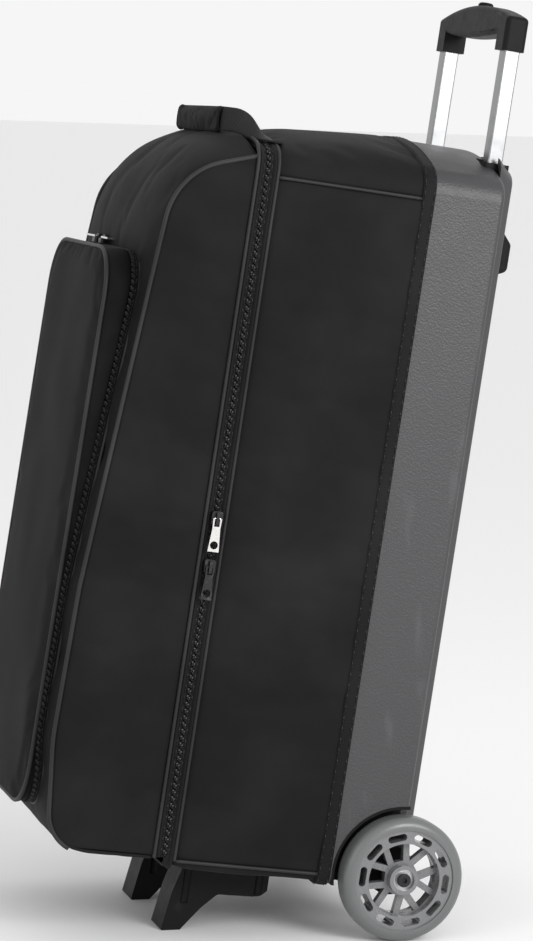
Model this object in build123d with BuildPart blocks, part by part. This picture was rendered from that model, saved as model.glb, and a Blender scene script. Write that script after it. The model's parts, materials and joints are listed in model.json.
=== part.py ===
"""Rolling bowling bag for three balls: every piece stands upright here (X across, Y to the back,
Z up, millimetres) and is leaned back on its wheels and kick feet as it is written."""
from build123d import *
import os
from math import cos, pi, radians, tan

# --- the bag's body
lean_angle = 7.0            # how far the bag leans back on its kick feet
body_width = 300.0
side_height = 718.0         # bottom panel to the top seam, at the sides
top_corner_radius = 26.0
bottom_corner_radius = 10.0
shell_crown = 34.0          # rise of the top over its side seams, at the shell
zip_crown = 18.0            # the same at the main zip
shell_depth = 76.0
shell_wall = 3.0
main_depth = 162.0          # sewn walls between the shell and the main zip
fabric_wall = 5.0
binding_width = 14.0
binding_thickness = 1.5
zip_width = 20.0            # both tapes of the main zip
zip_tape_thickness = 3.0
part_gap = 0.6              # gap between pieces that open away from each other

# --- raised middle of the shell's back, over the trolley tubes
raise_depth = 20.0
raise_tube_margin = 29.0    # from the tubes' middles to the sides of the raised middle
raise_slope = 14.0
raise_edge = 5.0
shell_edge = 6.0
raise_low = 12.0
raise_top_inset = 6.0       # below the shell's crown
raise_corner = 14.0

# --- front section and pocket
lid_bottom = 10.0
lid_depth_low = 116.0       # depth of the front section at its fullest
lid_depth_high = 91.0
lid_full_height = 190.0
lid_shoulder_drop = 108.0   # the front leans back above here, measured from the side seam
lid_nose_radius = 42.0
lid_toe_radius = 34.0
lid_top_step = 6.0          # the front section's top lies this much below the zip
lid_top_drop = 24.0         # and falls this much from there to the front
pocket_side_margin = 25.0
pocket_low = 42.0
pocket_top_margin = 118.0
pocket_corner = 48.0
pocket_depth_high = 130.0   # pocket front at its top, measured from the main zip
pocket_depth_low = 136.0    # and at its bottom
pocket_wall = 4.0
pocket_toe_radius = 6.0
pocket_zip_width = 8.0
partition_thickness = 3.5
shoe_mouth_inset = 20.0     # rim of the front wall inside the pocket's outline

# --- inside
board_thickness = 4.0
back_board_front = 18.0
tray_height = 44.0
ball_diameter = 218.0
ball_clearance = 1.0
ball_floor = 10.0           # tray left under a ball
tray_side_gap = 1.0

# --- wheels
wheel_diameter = 127.0
wheel_width = 32.0
wheel_stand_out = 2.5       # the wheel's middle stands this much outside the shell's side
axle_forward = 1.0
axle_height = 15.0
arch_clearance = 8.5        # from the tyre to the arch
arch_wall = 3.0
arch_depth = 34.0           # from the shell's side to the carrier's plate
tube_arch_gap = 6.0         # the least room between the trolley tubes and the carriers
carrier_wall = 6.0
carrier_boss_radius = 25.0
tyre_thickness = 12.0
hub_half_width = 14.0
hub_rim_width = 14.0
hub_boss_radius = 15.0
hub_web = 8.0
hub_slots = 10
slot_rim_margin = 7.5       # from the hub's edge to the middle of its slots
slot_bridge = 7.6           # left between one slot and the next
slot_width = 7.0
spoke_pairs = 5
window_inner = 17.5          # the hub's windows between its spokes
window_rim_gap = 1.5
spoke_width = 5.8           # left between one window and the next at the rim
bearing_radius = 11.0
bearing_width = 7.0
bearing_recess = 4.5
axle_radius = 4.0
running_clearance = 0.05
bolt_head_radius = 7.0
bolt_head_length = 4.0
washer_thickness = 1.5
nut_width = 13.0
nut_thickness = 6.5
tyre_round = 10.0
face_gap = 0.3

# --- telescoping handle
tube_spacing = 186.0
tube_width = 17.0
tube_depth = 16.0
tube_wall = 1.2
tube_corner = 3.0
slide_clearance = 0.2
outer_tube_wall = 1.5
handle_drawn = 114.0        # how far the handle is drawn out as it stands
tube_overlap = 290.0
collar_width = 31.0
collar_depth = 27.0
collar_height = 24.0
collar_stand = 22.0         # the collars' tops over the side seams
socket_width = 25.0
grip_depth = 24.0
socket_height = 34.0
grip_rise = 13.0
bar_thickness = 33.0
grip_round = 5.0
tube_in_socket = 16.0
button_radius = 8.0
button_height = 4.0
button_travel = 5.0
button_clearance = 0.3
rod_radius = 2.0
link_height = 5.0
link_depth = 6.0
plug_height = 14.0
bracket_height = 18.0
bracket_bottom = 28.0

# --- feet, skids, strap, sliders
foot_spacing = 128.0
foot_width = 40.0
foot_flange_width = 58.0
foot_flange_thickness = 6.0
foot_back = 114.0
foot_front = 214.0
foot_tip = 222.0
sole_length = 20.0
foot_round = 7.0
screw_radius = 2.0
screw_head_radius = 4.0
screw_head_height = 2.0
skid_spacing = 130.0
skid_width = 34.0
skid_drop = 92.0            # the skids' lower ends under the side seams
skid_height = 58.0
skid_depth = 19.0
strap_span = 236.0
strap_width = 24.0
strap_thickness = 3.0
strap_reach = 46.0          # forward from its anchors to the sleeve's middle
strap_rise = 10.0
sleeve_length = 160.0
sleeve_thickness = 13.0
slider_length = 14.0
slider_width = 11.0
slider_height = 5.0
bail_gap = 2.4
bail_thickness = 1.4
bail_half_length = 5.6
pull_bar_radius = 0.9
pull_length = 33.0
pull_wide = 11.5
pull_narrow = 8.0
pull_hole_radius = 4.0
main_slider_heights = {"upper": 354.0, "lower": 306.0}
pocket_slider_places = {"right": -30.0, "left": -58.0}

# --- places that follow from them
half_width = body_width / 2
outer_width = tube_width + 2 * (slide_clearance + outer_tube_wall)
outer_depth = tube_depth + 2 * (slide_clearance + outer_tube_wall)
wheel_middle = half_width + wheel_stand_out
carrier_inner = max(half_width - arch_depth, (tube_spacing + outer_width) / 2 + tube_arch_gap)
arch_radius = wheel_diameter / 2 + arch_clearance
hub_radius = wheel_diameter / 2 - tyre_thickness
hub_rim_inner = hub_radius - hub_rim_width
slot_radius = hub_radius - slot_rim_margin
slot_length = 2 * pi * slot_radius / hub_slots - slot_bridge
window_outer = hub_rim_inner - window_rim_gap
window_half = pi * window_outer / (2 * spoke_pairs) - spoke_width / 2
collar_top = side_height + collar_stand
skid_low = side_height - skid_drop
zip_start = shell_depth + main_depth
zip_end = zip_start + zip_width
pocket_face_high = zip_end + pocket_depth_high
pocket_face_low = zip_end + pocket_depth_low
zip_split = zip_start + zip_width / 2
floor_below_axle = wheel_diameter / 2 / cos(radians(lean_angle))
socket_bottom = collar_top + handle_drawn
tube_top = socket_bottom + tube_in_socket
tube_bottom = collar_top - tube_overlap
outer_top = collar_top - collar_height
tube_places = {"left": -tube_spacing / 2, "right": tube_spacing / 2}
sides = {"left": -1, "right": 1}
screw_places = [(x, y) for x in (-22, 22) for y in (-38, 38)]
foot_middle = (foot_back + foot_front) / 2
pocket_top = side_height - pocket_top_margin


def floor_at(forward):
    """Height of the floor under the upright bag, at a distance forward of the shell's back."""
    return axle_height - floor_below_axle - (forward - axle_forward) * tan(radians(lean_angle))


def bag_outline(forward, crown, inset=0.0):
    """The bag seen from the front: straight sides and bottom under a crowned top."""
    half, top, low = half_width - inset, side_height - inset, inset
    corner = max(top_corner_radius - inset, 1)
    toe = max(bottom_corner_radius - inset, 1)
    with BuildSketch(Plane.XZ.offset(forward)) as outline:
        with BuildLine():
            ThreePointArc((-half, top), (0, top + crown), (half, top))
            Polyline((half, top), (half, low), (-half, low), (-half, top))
        make_face()
        fillet(outline.vertices().group_by(Axis.Y)[-1], corner)
        fillet(outline.vertices().group_by(Axis.Y)[0], toe)
    return outline.sketch


def pocket_outline(forward, inset=0.0):
    width, height = body_width - 2 * (pocket_side_margin + inset), pocket_top - pocket_low - 2 * inset
    with BuildSketch(Plane.XZ.offset(forward)) as outline:
        with Locations((0, (pocket_low + pocket_top) / 2)):
            RectangleRounded(width, height, pocket_corner - inset)
    return outline.sketch


def lid_profile(grow=0.0):
    """The front section seen from the side, cut through its middle."""
    back, top = -zip_end, side_height + zip_crown - lid_top_step
    with BuildSketch(Plane.YZ.offset(-half_width)) as profile:
        with BuildLine():
            Polyline((back, lid_bottom), (back - lid_depth_low, lid_bottom),
                     (back - lid_depth_low, lid_full_height), (back - lid_depth_high, side_height - lid_shoulder_drop),
                     (back - lid_depth_high + 6, top - lid_top_drop), (back, top), close=True)
        make_face()
        fillet(profile.vertices().sort_by_distance((back - lid_depth_high, top - lid_top_drop))[0], lid_nose_radius)
        fillet(profile.vertices().sort_by_distance((back - lid_depth_low, lid_bottom))[0], lid_toe_radius)
        if grow:
            offset(amount=grow)
    return profile.sketch


def pocket_profile(grow=0.0):
    """The pocket seen from the side: its front leans a little towards the top."""
    with BuildSketch(Plane.YZ.offset(-half_width)) as profile:
        with BuildLine():
            Polyline((-zip_end, pocket_low - grow), (-pocket_face_low - grow, pocket_low - grow),
                     (-pocket_face_high - grow, pocket_top + grow), (-zip_end, pocket_top + grow), close=True)
        make_face()
        fillet(profile.vertices().group_by(Axis.X)[0], pocket_toe_radius)
    return profile.sketch


def block(low, high, mode=Mode.ADD):
    """A box between two corners."""
    middle = [(a + b) / 2 for a, b in zip(low, high)]
    with Locations(tuple(middle)):
        Box(*[b - a for a, b in zip(low, high)], mode=mode)


def disc(x, radius, length, mode=Mode.ADD, hole=0.0):
    """A disc on the wheel's axis from x, of a length that is negative towards -X."""
    with BuildSketch(Plane.YZ.offset(x)) as circle:
        with Locations((-axle_forward, axle_height)):
            Circle(radius)
            if hole:
                Circle(hole, mode=Mode.SUBTRACT)
    extrude(circle.sketch, amount=length, mode=mode)


def cut_wheel_arches(radius=arch_radius, inner=carrier_inner):
    for side in sides.values():
        disc(side * inner, radius, side * (half_width - inner + 5), mode=Mode.SUBTRACT)


def rounded_bar(x, y, z, width, depth, corner, height, mode=Mode.ADD):
    """A rounded rectangular bar that stands at (x, y) from z upwards."""
    with BuildSketch(Plane.XY.offset(z)) as section:
        with Locations((x, y)):
            RectangleRounded(width, depth, corner)
    extrude(section.sketch, amount=height, mode=mode)


def raised_step(forward, inset):
    """The raised middle of the shell's back: it covers the trolley tubes."""
    low, high = raise_low + inset, side_height + shell_crown - raise_top_inset - inset
    with BuildSketch(Plane.XZ.offset(forward)) as step:
        with Locations((0, (low + high) / 2)):
            RectangleRounded(tube_spacing + 2 * (raise_tube_margin - inset), high - low, raise_corner)
    return step.sketch


pieces = {}

# %% Moulded back shell
with BuildPart() as back_shell:
    extrude(bag_outline(0, shell_crown), amount=shell_depth)
    fillet(back_shell.edges().group_by(Axis.Y)[-1], shell_edge)
    loft([raised_step(0, 0), raised_step(-raise_depth, raise_slope)])
    fillet(back_shell.edges().group_by(Axis.Y)[-1], raise_edge)
    extrude(bag_outline(shell_wall, shell_crown, shell_wall), amount=shell_depth, mode=Mode.SUBTRACT)
    loft([raised_step(shell_wall, shell_wall), raised_step(shell_wall - raise_depth, raise_slope + shell_wall)],
         mode=Mode.SUBTRACT)
    cut_wheel_arches()
    for side in sides.values():
        disc(side * (carrier_inner - nut_thickness - 1), nut_width * 0.7, side * (nut_thickness + 2),
             mode=Mode.SUBTRACT)
    for x in tube_places.values():
        rounded_bar(x, 0, outer_top, collar_width, collar_depth, tube_corner, collar_height * 2,
                    mode=Mode.SUBTRACT)
pieces["back_shell"] = back_shell

# %% Binding sewn over the joint of the shell and the fabric
with BuildPart() as shell_binding:
    bind_start = shell_depth - 2
    extrude(bag_outline(bind_start, shell_crown, -binding_thickness), amount=binding_width)
    extrude(bag_outline(bind_start, shell_crown), amount=binding_width, mode=Mode.SUBTRACT)
pieces["shell_binding"] = shell_binding


# %% Sewn walls of the ball compartment
def wall_ring():
    """Adds the whole sewn wall between the shell and the main zip."""
    outer = [bag_outline(shell_depth, shell_crown), bag_outline(zip_start, zip_crown)]
    inner = [bag_outline(shell_depth, shell_crown, fabric_wall), bag_outline(zip_start, zip_crown, fabric_wall)]
    loft(outer)
    loft(inner, mode=Mode.SUBTRACT)


seam_high = side_height - top_corner_radius
for name, side in sides.items():
    with BuildPart() as side_panel:
        wall_ring()
        block((side * (half_width - 1) - 12, -zip_end, bottom_corner_radius),
              (side * (half_width - 1) + 12, 0, seam_high), mode=Mode.INTERSECT)
    pieces[f"side_panel_{name}"] = side_panel
with BuildPart() as top_panel:
    wall_ring()
    block((-half_width, -zip_end, seam_high), (half_width, 0, seam_high + 100), mode=Mode.INTERSECT)
pieces["top_panel"] = top_panel
with BuildPart() as bottom_panel:
    wall_ring()
    block((-half_width, -zip_end, 0), (half_width, 0, bottom_corner_radius), mode=Mode.INTERSECT)
    for x in (-foot_spacing / 2, foot_spacing / 2):
        with Locations((x, -foot_middle, fabric_wall / 2)):
            with Locations(*screw_places):
                Cylinder(screw_radius, fabric_wall, mode=Mode.SUBTRACT)
pieces["bottom_panel"] = bottom_panel


# %% Tapes of the main zip
def zip_tape(start, end):
    extrude(bag_outline(start, zip_crown), amount=end - start)
    extrude(bag_outline(start, zip_crown, zip_tape_thickness), amount=end - start, mode=Mode.SUBTRACT)


with BuildPart() as zip_tape_case:
    zip_tape(zip_start, zip_split - part_gap / 2)
pieces["zip_tape_case"] = zip_tape_case
with BuildPart() as zip_tape_lid:
    zip_tape(zip_split + part_gap / 2, zip_end)
    block((-half_width, -zip_end, 0), (half_width, -zip_start, lid_bottom), mode=Mode.SUBTRACT)
pieces["zip_tape_lid"] = zip_tape_lid

# %% Boards and ball trays inside
inner_half = half_width - fabric_wall - tray_side_gap
with BuildPart() as base_board:
    base_half = inner_half - fabric_wall
    block((-base_half, -(zip_start - 6), fabric_wall), (base_half, -(shell_depth + 4), fabric_wall + board_thickness))
    for x in (-foot_spacing / 2, foot_spacing / 2):
        with Locations((x, -foot_middle, fabric_wall + board_thickness / 2)):
            with Locations(*screw_places):
                Cylinder(screw_radius, board_thickness, mode=Mode.SUBTRACT)
pieces["base_board"] = base_board
with BuildPart() as back_board:
    extrude(bag_outline(back_board_front - board_thickness, shell_crown, fabric_wall + 1), amount=board_thickness)
    cut_wheel_arches(arch_radius + part_gap, carrier_inner - part_gap)
pieces["back_board"] = back_board

tray_floor = fabric_wall + board_thickness
ball_radius = ball_diameter / 2 + ball_clearance
ball_forward = back_board_front + ball_radius
ball_step = 2 * ball_radius + ball_floor
ball_heights = [tray_floor + ball_floor + ball_radius + i * ball_step for i in range(3)]
for name, height, level in zip(("lower", "middle", "upper"), ball_heights, range(3)):
    with BuildPart() as ball_tray:
        low = tray_floor if level == 0 else height - ball_radius - ball_floor - tray_height / 2
        block((-inner_half, -(zip_start - 4), low), (inner_half, -back_board_front, low + tray_height))
        with Locations((0, -ball_forward, height)):
            Sphere(ball_radius, mode=Mode.SUBTRACT)
        if level:
            with Locations((0, -ball_forward, height - ball_step)):
                Sphere(ball_radius, mode=Mode.SUBTRACT)
        cut_wheel_arches(arch_radius + part_gap, carrier_inner - part_gap)
    pieces[f"ball_tray_{name}"] = ball_tray

# %% Front section: sides, front, top and bottom of the shoe compartment, and its back board


def lid_ring():
    """Adds the hollow front section, open towards the balls and through the pocket's mouth."""
    extrude(lid_profile(), amount=body_width)
    extrude(bag_outline(zip_end, zip_crown), amount=lid_depth_low, mode=Mode.INTERSECT)
    with BuildPart(mode=Mode.PRIVATE) as inside:
        extrude(lid_profile(-fabric_wall), amount=body_width)
        extrude(bag_outline(zip_end, zip_crown, fabric_wall), amount=lid_depth_low, mode=Mode.INTERSECT)
    add(inside.part, mode=Mode.SUBTRACT)
    extrude(bag_outline(zip_end, zip_crown, fabric_wall), amount=fabric_wall + 1, mode=Mode.SUBTRACT)
    extrude(pocket_outline(zip_end, shoe_mouth_inset), amount=lid_depth_low, mode=Mode.SUBTRACT)


lid_front_low = lid_bottom + lid_toe_radius
lid_front_high = side_height - lid_nose_radius
lid_cuts = {
    "lid_side_left": ((-half_width, lid_front_low), (fabric_wall - half_width, lid_front_high)),
    "lid_side_right": ((half_width - fabric_wall, lid_front_low), (half_width, lid_front_high)),
    "lid_front": ((fabric_wall - half_width, lid_front_low), (half_width - fabric_wall, lid_front_high)),
    "lid_top": ((-half_width, lid_front_high), (half_width, side_height + shell_crown)),
    "lid_bottom": ((-half_width, 0), (half_width, lid_front_low)),
}
for name, (low, high) in lid_cuts.items():
    with BuildPart() as lid_panel:
        lid_ring()
        block((low[0], -zip_end - lid_depth_low, low[1]), (high[0], -zip_end, high[1]), mode=Mode.INTERSECT)
    pieces[name] = lid_panel
with BuildPart() as partition_board:
    with BuildSketch(Plane.XZ.offset(zip_end)) as partition:
        with Locations((0, (lid_bottom + side_height) / 2)):
            RectangleRounded(2 * inner_half, side_height - lid_bottom - 2 * fabric_wall, top_corner_radius)
    extrude(amount=partition_thickness)
pieces["partition_board"] = partition_board

# %% Pocket: zip ring on the front section, and the cover that opens
with BuildPart() as pocket_zip_ring:
    extrude(lid_profile(pocket_zip_width), amount=body_width)
    extrude(pocket_outline(zip_end), amount=lid_depth_low + pocket_zip_width, mode=Mode.INTERSECT)
    extrude(pocket_outline(zip_end, pocket_wall), amount=lid_depth_low + pocket_zip_width, mode=Mode.SUBTRACT)
    extrude(lid_profile(), amount=body_width, mode=Mode.SUBTRACT)
pieces["pocket_zip_ring"] = pocket_zip_ring
with BuildPart() as pocket_cover:
    extrude(pocket_profile(), amount=body_width)
    extrude(pocket_outline(zip_end), amount=pocket_face_low - zip_end, mode=Mode.INTERSECT)
    with BuildPart(mode=Mode.PRIVATE) as pocket_inside:
        extrude(pocket_profile(-pocket_wall), amount=body_width)
        extrude(pocket_outline(zip_end, pocket_wall), amount=pocket_face_low - zip_end, mode=Mode.INTERSECT)
    add(pocket_inside.part, mode=Mode.SUBTRACT)
    extrude(lid_profile(pocket_zip_width + part_gap), amount=body_width, mode=Mode.SUBTRACT)
pieces["pocket_cover"] = pocket_cover

# %% Trolley tubes, their bracket and collars
for name, x in tube_places.items():
    with BuildPart() as outer_tube:
        rounded_bar(x, 0, bracket_bottom + bracket_height, outer_width, outer_depth, tube_corner,
                    outer_top - bracket_bottom - bracket_height)
        rounded_bar(x, 0, bracket_bottom + bracket_height, tube_width + 2 * slide_clearance,
                    tube_depth + 2 * slide_clearance, tube_corner - outer_tube_wall, outer_top,
                    mode=Mode.SUBTRACT)
    pieces[f"outer_tube_{name}"] = outer_tube
    with BuildPart() as handle_collar:
        rounded_bar(x, 0, outer_top, collar_width, collar_depth, tube_corner, collar_height)
        rounded_bar(x, 0, outer_top, tube_width + 2 * slide_clearance, tube_depth + 2 * slide_clearance,
                    tube_corner - outer_tube_wall, collar_height, mode=Mode.SUBTRACT)
    pieces[f"handle_collar_{name}"] = handle_collar
    with BuildPart() as inner_tube:
        rounded_bar(x, 0, tube_bottom, tube_width, tube_depth, tube_corner - outer_tube_wall,
                    tube_top - tube_bottom)
        rounded_bar(x, 0, tube_bottom, tube_width - 2 * tube_wall, tube_depth - 2 * tube_wall, 0.5,
                    tube_top - tube_bottom, mode=Mode.SUBTRACT)
    pieces[f"inner_tube_{name}"] = inner_tube
with BuildPart() as tube_bracket:
    rounded_bar(0, 0, bracket_bottom, tube_spacing + outer_width, outer_depth, tube_corner, bracket_height)
pieces["tube_bracket"] = tube_bracket
with BuildPart() as tube_plugs:
    for x in tube_places.values():
        rounded_bar(x, 0, tube_bottom - plug_height, tube_width, tube_depth, tube_corner - outer_tube_wall,
                    plug_height)
pieces["tube_plugs"] = tube_plugs

# %% Grip, release button, and the link and rods it pushes
socket_top = socket_bottom + socket_height
grip_top = socket_top + grip_rise
grip_half = tube_spacing / 2 + socket_width / 2
bar_low = grip_top - bar_thickness
link_top = grip_top - 14
with BuildPart() as grip:
    with BuildSketch(Plane.XZ.offset(-grip_depth / 2)) as front_view:
        with BuildLine():
            ThreePointArc((-grip_half, socket_top), (0, grip_top), (grip_half, socket_top))
            Line((grip_half, socket_top), (grip_half, socket_bottom))
            Line((grip_half, socket_bottom), (grip_half - socket_width, socket_bottom))
            Line((grip_half - socket_width, socket_bottom), (grip_half - socket_width, bar_low + 4))
            ThreePointArc((grip_half - socket_width, bar_low + 4), (0, bar_low),
                          (socket_width - grip_half, bar_low + 4))
            Line((socket_width - grip_half, bar_low + 4), (socket_width - grip_half, socket_bottom))
            Line((socket_width - grip_half, socket_bottom), (-grip_half, socket_bottom))
            Line((-grip_half, socket_bottom), (-grip_half, socket_top))
        make_face()
        fillet(front_view.vertices().group_by(Axis.Y)[-1], grip_round)
    extrude(amount=grip_depth)
    long_edges = grip.edges().filter_by(GeomType.CIRCLE).filter_by(lambda edge: edge.length > tube_spacing / 2)
    fillet(long_edges, grip_round)
    for x in tube_places.values():
        rounded_bar(x, 0, socket_bottom, tube_width, tube_depth, tube_corner - outer_tube_wall, tube_in_socket,
                    mode=Mode.SUBTRACT)
        with Locations((x, 0, (tube_top + link_top) / 2)):
            Cylinder(rod_radius + 0.5, link_top - tube_top + 1, mode=Mode.SUBTRACT)
    slot_half = tube_spacing / 2 + rod_radius + 1
    slot_low = link_top - link_height - button_travel - 0.5
    block((-slot_half, -link_depth / 2 - 0.5, slot_low), (slot_half, link_depth / 2 + 0.5, link_top + 0.5),
          mode=Mode.SUBTRACT)
    with Locations((0, 0, grip_top)):
        Cylinder(button_radius + button_clearance, 2 * (grip_top - link_top + button_travel) + 1,
                 mode=Mode.SUBTRACT)
pieces["grip"] = grip
with BuildPart() as release_button:
    with BuildSketch(Plane.XY.offset(link_top)):
        Circle(button_radius)
    extrude(amount=grip_top - link_top + button_height)
    fillet(release_button.edges().group_by(Axis.Z)[-1], button_height - 0.5)
pieces["release_button"] = release_button
with BuildPart() as release_link:
    block((-tube_spacing / 2 - rod_radius, -link_depth / 2, link_top - link_height),
          (tube_spacing / 2 + rod_radius, link_depth / 2, link_top))
    for x in tube_places.values():
        with BuildSketch(Plane.XY.offset(tube_bottom + button_travel + 1)) as rod_end:
            with Locations((x, 0)):
                Circle(rod_radius)
        extrude(rod_end.sketch, amount=link_top - tube_bottom - button_travel - 2)
pieces["release_link"] = release_link

# %% Wheels, their bearings, axle bolts and carriers
for name, side in sides.items():
    outer_face = side * (wheel_middle + hub_half_width)
    inner_face = side * (wheel_middle - hub_half_width)
    with BuildPart() as wheel_tyre:
        with BuildSketch(Plane.XY.offset(axle_height)) as tyre_section:
            with Locations((side * wheel_middle, -axle_forward + (hub_radius + wheel_diameter / 2) / 2)):
                Rectangle(wheel_width, wheel_diameter / 2 - hub_radius)
            fillet(tyre_section.vertices().group_by(Axis.Y)[-1], tyre_round)
        revolve(axis=Axis((0, -axle_forward, axle_height), (1, 0, 0)))
    pieces[f"wheel_tyre_{name}"] = wheel_tyre
    with BuildPart() as wheel_hub:
        disc(inner_face, hub_radius, side * 2 * hub_half_width, hole=hub_rim_inner)
        disc(inner_face, hub_boss_radius, side * 2 * hub_half_width)
        disc(side * (wheel_middle - hub_web / 2), hub_rim_inner + 1, side * hub_web)
        with BuildSketch(Plane.YZ.offset(side * (wheel_middle - hub_web))) as windows:
            with Locations((-axle_forward, axle_height)):
                with PolarLocations(0, spoke_pairs):
                    Polygon((window_inner + 2, 0), (window_outer, window_half), (window_outer, -window_half),
                            align=None)
                with PolarLocations(0, spoke_pairs, start_angle=180 / spoke_pairs):
                    Polygon((window_inner, window_half * 0.6), (window_inner, -window_half * 0.6),
                            (window_outer, -window_half), (window_outer, window_half), align=None)
        extrude(windows.sketch, amount=side * 2 * hub_web, mode=Mode.SUBTRACT)
        with BuildSketch(Plane.YZ.offset(inner_face)) as rim_slots:
            with Locations((-axle_forward, axle_height)):
                with PolarLocations(slot_radius, hub_slots):
                    SlotOverall(slot_length, slot_width, rotation=90)
        extrude(rim_slots.sketch, amount=side * 2 * hub_half_width, mode=Mode.SUBTRACT)
        disc(inner_face, bearing_radius, side * bearing_width, mode=Mode.SUBTRACT)
        disc(outer_face, bearing_radius, -side * (bearing_width + bearing_recess), mode=Mode.SUBTRACT)
        disc(inner_face, bearing_radius - 2, side * 2 * hub_half_width, mode=Mode.SUBTRACT)
    pieces[f"wheel_hub_{name}"] = wheel_hub
    with BuildPart() as wheel_bearings:
        bore = axle_radius + running_clearance
        disc(inner_face, bearing_radius, side * bearing_width, hole=bore)
        disc(outer_face - side * bearing_recess, bearing_radius, -side * bearing_width, hole=bore)
    pieces[f"wheel_bearings_{name}"] = wheel_bearings
    bolt_seat = outer_face - side * (bearing_recess - face_gap)
    with BuildPart() as axle_bolt:
        disc(side * (carrier_inner - nut_thickness), axle_radius,
             bolt_seat + side * washer_thickness - side * (carrier_inner - nut_thickness))
        disc(bolt_seat + side * washer_thickness, bolt_head_radius, side * bolt_head_length)
        fillet(axle_bolt.edges().group_by(Axis.X)[-1 if side > 0 else 0], 1.2)
        hexagon_plane = Plane.YZ.offset(bolt_seat + side * (washer_thickness + bolt_head_length))
        with BuildSketch(hexagon_plane) as socket_hole:
            with Locations((-axle_forward, axle_height)):
                RegularPolygon(3, 6)
        extrude(socket_hole.sketch, amount=-side * 2.5, mode=Mode.SUBTRACT)
    pieces[f"axle_bolt_{name}"] = axle_bolt
    with BuildPart() as wheel_carrier:
        with BuildSketch(Plane.YZ.offset(side * carrier_inner)) as carrier_plate:
            with Locations((-axle_forward, axle_height)):
                Circle(arch_radius)
            with Locations((-arch_radius, arch_radius)):
                Rectangle(2 * arch_radius, 2 * arch_radius, mode=Mode.INTERSECT)
            with Locations((-axle_forward, axle_height)):
                Circle(carrier_boss_radius)
                Circle(axle_radius, mode=Mode.SUBTRACT)
        extrude(carrier_plate.sketch, amount=side * carrier_wall)
        with BuildSketch(Plane.YZ.offset(side * carrier_inner)) as arch:
            with Locations((-axle_forward, axle_height)):
                Circle(arch_radius)
                Circle(arch_radius - arch_wall, mode=Mode.SUBTRACT)
            with Locations((-arch_radius, arch_radius)):
                Rectangle(2 * arch_radius, 2 * arch_radius, mode=Mode.INTERSECT)
        extrude(arch.sketch, amount=side * (half_width - carrier_inner))
        disc(side * carrier_inner, bolt_head_radius, inner_face - side * (face_gap + carrier_inner),
             hole=axle_radius)
    pieces[f"wheel_carrier_{name}"] = wheel_carrier
with BuildPart() as axle_washers:
    for side in sides.values():
        seat = side * (wheel_middle + hub_half_width - bearing_recess + face_gap)
        disc(seat, bolt_head_radius + 1, side * washer_thickness, hole=axle_radius)
pieces["axle_washers"] = axle_washers
with BuildPart() as axle_nuts:
    for side in sides.values():
        with BuildSketch(Plane.YZ.offset(side * carrier_inner)) as nut:
            with Locations((-axle_forward, axle_height)):
                RegularPolygon(nut_width / 2, 6, major_radius=False)
                Circle(axle_radius, mode=Mode.SUBTRACT)
        extrude(nut.sketch, amount=-side * nut_thickness)
pieces["axle_nuts"] = axle_nuts

# %% Kick feet and their screws
for name, side in sides.items():
    x = side * foot_spacing / 2
    with BuildPart() as kick_foot:
        block((x - foot_flange_width / 2, -foot_front, -foot_flange_thickness),
              (x + foot_flange_width / 2, -foot_back, 0))
        sole_back = foot_tip - sole_length
        with BuildSketch(Plane.YZ.offset(x - foot_width / 2)) as blade:
            with BuildLine():
                Polyline((-foot_front + 8, 0), (-foot_front - 2, -36), (-foot_tip, floor_at(foot_tip)),
                         (-sole_back, floor_at(sole_back)), (-sole_back + 18, -50), (-sole_back + 34, -34),
                         (-foot_back - 10, -33), (-foot_back - 2, -26), (-foot_back - 2, 0), close=True)
            make_face()
            bends = blade.vertices().filter_by(lambda v: -foot_flange_thickness - 40 - foot_round < v.Y < -20)
            fillet(bends.filter_by(lambda v: v.X < -foot_back - 5), foot_round)
        extrude(amount=foot_width)
        fillet(kick_foot.edges().filter_by(Axis.X).group_by(Axis.Z)[0], 1.5)
        with Locations((x, -foot_middle, -foot_flange_thickness / 2)):
            with Locations(*screw_places):
                Cylinder(screw_radius, foot_flange_thickness + 80, mode=Mode.SUBTRACT)
                with Locations((0, 0, -20 - foot_flange_thickness / 2)):
                    Cylinder(screw_head_radius + 0.5, 40, mode=Mode.SUBTRACT)
    pieces[f"kick_foot_{name}"] = kick_foot
with BuildPart() as foot_screws:
    for x in (-foot_spacing / 2, foot_spacing / 2):
        with BuildSketch(Plane.XY.offset(-foot_flange_thickness)) as shanks:
            with Locations((x, -foot_middle)):
                with Locations(*screw_places):
                    Circle(screw_radius)
        extrude(shanks.sketch, amount=foot_flange_thickness + fabric_wall + board_thickness)
        with BuildSketch(Plane.XY.offset(-foot_flange_thickness)) as heads:
            with Locations((x, -foot_middle)):
                with Locations(*screw_places):
                    Circle(screw_head_radius)
        extrude(heads.sketch, amount=-screw_head_height)
pieces["foot_screws"] = foot_screws

# %% Back skids
for name, side in sides.items():
    with BuildPart() as back_skid:
        x = side * skid_spacing / 2
        with BuildSketch(Plane.YZ.offset(x - skid_width / 2)) as skid_profile:
            with BuildLine():
                Polyline((raise_depth, skid_low), (raise_depth + skid_depth, skid_low + 8),
                         (raise_depth + skid_depth, skid_low + 36), (raise_depth, skid_low + skid_height), close=True)
            make_face()
            fillet(skid_profile.vertices().group_by(Axis.X)[-1], 7)
        extrude(amount=skid_width)
        fillet(back_skid.faces().sort_by(Axis.Y)[-1].edges().filter_by(Axis.Z), 5)
    pieces[f"back_skid_{name}"] = back_skid

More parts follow.
